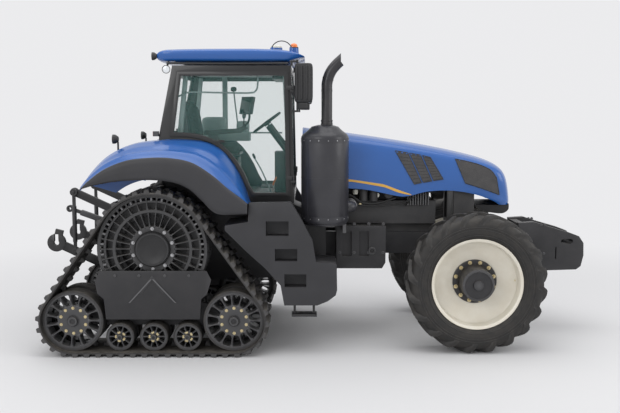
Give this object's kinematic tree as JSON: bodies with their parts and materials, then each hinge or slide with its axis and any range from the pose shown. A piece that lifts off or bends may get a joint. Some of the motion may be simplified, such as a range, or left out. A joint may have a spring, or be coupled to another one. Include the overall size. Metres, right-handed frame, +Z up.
{
  "type": "half-track row-crop tractor",
  "caption": "Row-crop tractor with triangular rubber track modules at the rear, steered front wheels, a glazed cab and a rear hitch.",
  "frame": {"origin": "on the ground under the middle of the tractor's overall length and width", "axes": "+X forwards to the nose, +Y to the driver's left, +Z up"},
  "size_m": [6.336, 2.534, 3.4518],
  "materials": {
    "blue_paint": "gloss blue enamel",
    "cream_paint": "gloss cream enamel",
    "frame_paint": "satin dark grey paint on castings",
    "engine_paint": "dark painted castings",
    "track_paint": "satin black paint",
    "idler_paint": "satin black paint with a rubber tread",
    "belt_rubber": "matt black moulded rubber",
    "tyre_rubber": "matt black tyre rubber",
    "dark_plastic": "grained dark grey plastic",
    "black_plastic": "matt black plastic",
    "cab_paint": "satin black paint",
    "tinted_glass": "clear glass with a green tint",
    "lamp_glass": "smoked lens over dark reflectors",
    "exhaust_paint": "heat-proof black paint",
    "link_paint": "dark grey paint with worn edges",
    "bright_steel": "machined steel",
    "seat_fabric": "dark woven seat cloth",
    "rung_rubber": "rubber straps and tread plate"
  },
  "bodies": {
    "root": {"transmission_housing": "frame_paint", "front_frame": "frame_paint", "engine_block": "engine_paint", "weight_carrier": "frame_paint", "cab_frame": "cab_paint", "cab_floor": "black_plastic", "cab_roof": "blue_paint", "cab_glass": "tinted_glass", "fenders": "blue_paint", "fender_skirts": "dark_plastic", "step_tanks": "dark_plastic", "exhaust_canister": "dark_plastic", "exhaust_pipe": "exhaust_paint", "lamps": "black_plastic", "dash_column": "black_plastic", "hitch_frame": "frame_paint"},
    "hood": {"hood_shell": "blue_paint", "hood_vents": "black_plastic", "headlamps": "lamp_glass"},
    "door_right": {"door_right_frame": "cab_paint", "door_right_glass": "tinted_glass"},
    "door_left": {"door_left_frame": "cab_paint", "door_left_glass": "tinted_glass"},
    "rear_screen": {"rear_window": "tinted_glass"},
    "front_axle": {"front_axle_beam": "frame_paint"},
    "steer_right": {"knuckle_right": "frame_paint"},
    "steer_left": {"knuckle_left": "frame_paint"},
    "wheel_right": {"rim_right": "cream_paint", "tyre_right": "tyre_rubber"},
    "wheel_left": {"rim_left": "cream_paint", "tyre_left": "tyre_rubber"},
    "track_right": {"track_frame_right": "track_paint", "track_belt_right": "belt_rubber"},
    "track_left": {"track_frame_left": "track_paint", "track_belt_left": "belt_rubber"},
    "drive_right": {"drive_wheel_right": "track_paint"},
    "drive_left": {"drive_wheel_left": "track_paint"},
    "lift_arms": {"rockshaft": "link_paint"},
    "lift_rods": {"lift_rods": "bright_steel"},
    "lower_links": {"lower_links": "link_paint"},
    "top_link": {"top_link": "link_paint"},
    "drawbar": {"drawbar": "frame_paint"},
    "pto": {"pto_shaft": "bright_steel"},
    "steering_wheel": {"steering_wheel": "black_plastic"},
    "seat": {"seat": "seat_fabric", "armrest_console": "black_plastic"},
    "mirror_right": {"mirror_right": "black_plastic"},
    "mirror_left": {"mirror_left": "black_plastic"},
    "rung_right": {"rung_right": "rung_rubber"},
    "rung_left": {"rung_left": "rung_rubber"},
    "idler_rear_right": {"idler_rear_right": "idler_paint"},
    "idler_front_right": {"idler_front_right": "idler_paint"},
    "roller_rear_right": {"roller_rear_right": "idler_paint"},
    "roller_mid_right": {"roller_mid_right": "idler_paint"},
    "roller_front_right": {"roller_front_right": "idler_paint"},
    "idler_rear_left": {"idler_rear_left": "idler_paint"},
    "idler_front_left": {"idler_front_left": "idler_paint"},
    "roller_rear_left": {"roller_rear_left": "idler_paint"},
    "roller_mid_left": {"roller_mid_left": "idler_paint"},
    "roller_front_left": {"roller_front_left": "idler_paint"}
  },
  "joints": [
    {"name": "hood_hinge", "type": "hinge", "parent": "root", "child": "hood", "pos_m": [-0.153, 0, 2.44], "axis": [0, -1, 0], "range_deg": [0, 45]},
    {"name": "door_right_hinge", "type": "hinge", "parent": "root", "child": "door_right", "pos_m": [-0.278, -0.85, 2.4], "axis": [0, 0, 1], "range_deg": [0, 75]},
    {"name": "door_left_hinge", "type": "hinge", "parent": "root", "child": "door_left", "pos_m": [-0.278, 0.85, 2.4], "axis": [0, 0, -1], "range_deg": [0, 75]},
    {"name": "rear_window_hinge", "type": "hinge", "parent": "root", "child": "rear_screen", "pos_m": [-1.593, 0, 3.11], "axis": [0, 1, 0], "range_deg": [0, 55]},
    {"name": "front_axle_pivot", "type": "hinge", "parent": "root", "child": "front_axle", "pos_m": [1.742, 0, 0.82], "axis": [1, 0, 0], "range_deg": [-8, 8]},
    {"name": "steer_left", "type": "hinge", "parent": "front_axle", "child": "steer_left", "pos_m": [1.742, 0.7, 0.78], "axis": [0, 0, 1], "range_deg": [-32, 32]},
    {"name": "steer_right", "type": "hinge", "parent": "front_axle", "child": "steer_right", "pos_m": [1.742, -0.7, 0.78], "axis": [0, 0, 1], "range_deg": [-32, 32]},
    {"name": "wheel_spin_right", "type": "hinge", "parent": "steer_right", "child": "wheel_right", "pos_m": [1.742, -0.962, 0.78], "axis": [0, 1, 0], "continuous": true},
    {"name": "wheel_spin_left", "type": "hinge", "parent": "steer_left", "child": "wheel_left", "pos_m": [1.742, 0.962, 0.78], "axis": [0, 1, 0], "continuous": true},
    {"name": "track_tilt_right", "type": "hinge", "parent": "root", "child": "track_right", "pos_m": [-1.808, -0.962, 1.18], "axis": [0, 1, 0], "range_deg": [-8, 8]},
    {"name": "track_tilt_left", "type": "hinge", "parent": "root", "child": "track_left", "pos_m": [-1.808, 0.962, 1.18], "axis": [0, 1, 0], "range_deg": [-8, 8]},
    {"name": "drive_spin_right", "type": "hinge", "parent": "root", "child": "drive_right", "pos_m": [-1.808, -0.962, 1.18], "axis": [0, 1, 0], "continuous": true},
    {"name": "idler_rear_spin_right", "type": "hinge", "parent": "track_right", "child": "idler_rear_right", "pos_m": [-2.688, -0.962, 0.39], "axis": [0, 1, 0], "continuous": true},
    {"name": "idler_front_spin_right", "type": "hinge", "parent": "track_right", "child": "idler_front_right", "pos_m": [-0.928, -0.962, 0.39], "axis": [0, 1, 0], "continuous": true},
    {"name": "roller_rear_spin_right", "type": "hinge", "parent": "track_right", "child": "roller_rear_right", "pos_m": [-2.178, -0.962, 0.21], "axis": [0, 1, 0], "continuous": true},
    {"name": "roller_mid_spin_right", "type": "hinge", "parent": "track_right", "child": "roller_mid_right", "pos_m": [-1.808, -0.962, 0.21], "axis": [0, 1, 0], "continuous": true},
    {"name": "roller_front_spin_right", "type": "hinge", "parent": "track_right", "child": "roller_front_right", "pos_m": [-1.438, -0.962, 0.21], "axis": [0, 1, 0], "continuous": true},
    {"name": "drive_spin_left", "type": "hinge", "parent": "root", "child": "drive_left", "pos_m": [-1.808, 0.962, 1.18], "axis": [0, 1, 0], "continuous": true},
    {"name": "idler_rear_spin_left", "type": "hinge", "parent": "track_left", "child": "idler_rear_left", "pos_m": [-2.688, 0.962, 0.39], "axis": [0, 1, 0], "continuous": true},
    {"name": "idler_front_spin_left", "type": "hinge", "parent": "track_left", "child": "idler_front_left", "pos_m": [-0.928, 0.962, 0.39], "axis": [0, 1, 0], "continuous": true},
    {"name": "roller_rear_spin_left", "type": "hinge", "parent": "track_left", "child": "roller_rear_left", "pos_m": [-2.178, 0.962, 0.21], "axis": [0, 1, 0], "continuous": true},
    {"name": "roller_mid_spin_left", "type": "hinge", "parent": "track_left", "child": "roller_mid_left", "pos_m": [-1.808, 0.962, 0.21], "axis": [0, 1, 0], "continuous": true},
    {"name": "roller_front_spin_left", "type": "hinge", "parent": "track_left", "child": "roller_front_left", "pos_m": [-1.438, 0.962, 0.21], "axis": [0, 1, 0], "continuous": true},
    {"name": "lower_link_lift", "type": "hinge", "parent": "root", "child": "lower_links", "pos_m": [-2.328, 0, 0.8], "axis": [0, -1, 0], "range_deg": [0, 40]},
    {"name": "rockshaft_turn", "type": "hinge", "parent": "root", "child": "lift_arms", "pos_m": [-2.328, 0, 1.5], "axis": [0, -1, 0], "range_deg": [0, 40]},
    {"name": "lift_rod_pivot", "type": "hinge", "parent": "lift_arms", "child": "lift_rods", "pos_m": [-2.83553, 0, 1.73667], "axis": [0, 1, 0], "range_deg": [0, 40]},
    {"name": "top_link_pivot", "type": "hinge", "parent": "root", "child": "top_link", "pos_m": [-2.498, 0, 1.3], "axis": [0, -1, 0], "range_deg": [0, 50]},
    {"name": "drawbar_swing", "type": "hinge", "parent": "root", "child": "drawbar", "pos_m": [-2.008, 0, 0.5065], "axis": [0, 0, 1], "range_deg": [-10, 10]},
    {"name": "pto_spin", "type": "hinge", "parent": "root", "child": "pto", "pos_m": [-2.408, 0, 0.9], "axis": [1, 0, 0], "continuous": true},
    {"name": "steering_wheel_turn", "type": "hinge", "parent": "root", "child": "steering_wheel", "pos_m": [-0.618, 0, 2.535], "axis": [-0.5976, 0, 0.8018], "range_deg": [-520, 520]},
    {"name": "seat_slide", "type": "slide", "parent": "root", "child": "seat", "axis": [1, 0, 0], "range_m": [-0.06, 0.08]},
    {"name": "mirror_fold_right", "type": "hinge", "parent": "root", "child": "mirror_right", "pos_m": [-0.236, -0.892, 2.95], "axis": [0, 0, -1], "range_deg": [-25, 40]},
    {"name": "mirror_fold_left", "type": "hinge", "parent": "root", "child": "mirror_left", "pos_m": [-0.236, 0.892, 2.95], "axis": [0, 0, 1], "range_deg": [-25, 40]},
    {"name": "rung_swing_right", "type": "hinge", "parent": "root", "child": "rung_right", "pos_m": [-0.158, -1.116, 0.553], "axis": [-1, 0, 0], "range_deg": [-20, 30]},
    {"name": "rung_swing_left", "type": "hinge", "parent": "root", "child": "rung_left", "pos_m": [-0.158, 1.116, 0.553], "axis": [1, 0, 0], "range_deg": [-20, 30]}
  ],
  "couplings": [
    {"joint": "steer_right", "follows": "steer_left", "ratio": 1},
    {"joint": "steering_wheel_turn", "follows": "steer_left", "ratio": 16},
    {"joint": "rockshaft_turn", "follows": "lower_link_lift", "ratio": 1},
    {"joint": "lift_rod_pivot", "follows": "lower_link_lift", "ratio": 1},
    {"joint": "idler_rear_spin_right", "follows": "drive_spin_right", "ratio": 1.791},
    {"joint": "idler_front_spin_right", "follows": "drive_spin_right", "ratio": 1.791},
    {"joint": "roller_rear_spin_right", "follows": "drive_spin_right", "ratio": 3.871},
    {"joint": "roller_mid_spin_right", "follows": "drive_spin_right", "ratio": 3.871},
    {"joint": "roller_front_spin_right", "follows": "drive_spin_right", "ratio": 3.871},
    {"joint": "idler_rear_spin_left", "follows": "drive_spin_left", "ratio": 1.791},
    {"joint": "idler_front_spin_left", "follows": "drive_spin_left", "ratio": 1.791},
    {"joint": "roller_rear_spin_left", "follows": "drive_spin_left", "ratio": 3.871},
    {"joint": "roller_mid_spin_left", "follows": "drive_spin_left", "ratio": 3.871},
    {"joint": "roller_front_spin_left", "follows": "drive_spin_left", "ratio": 3.871}
  ]
}
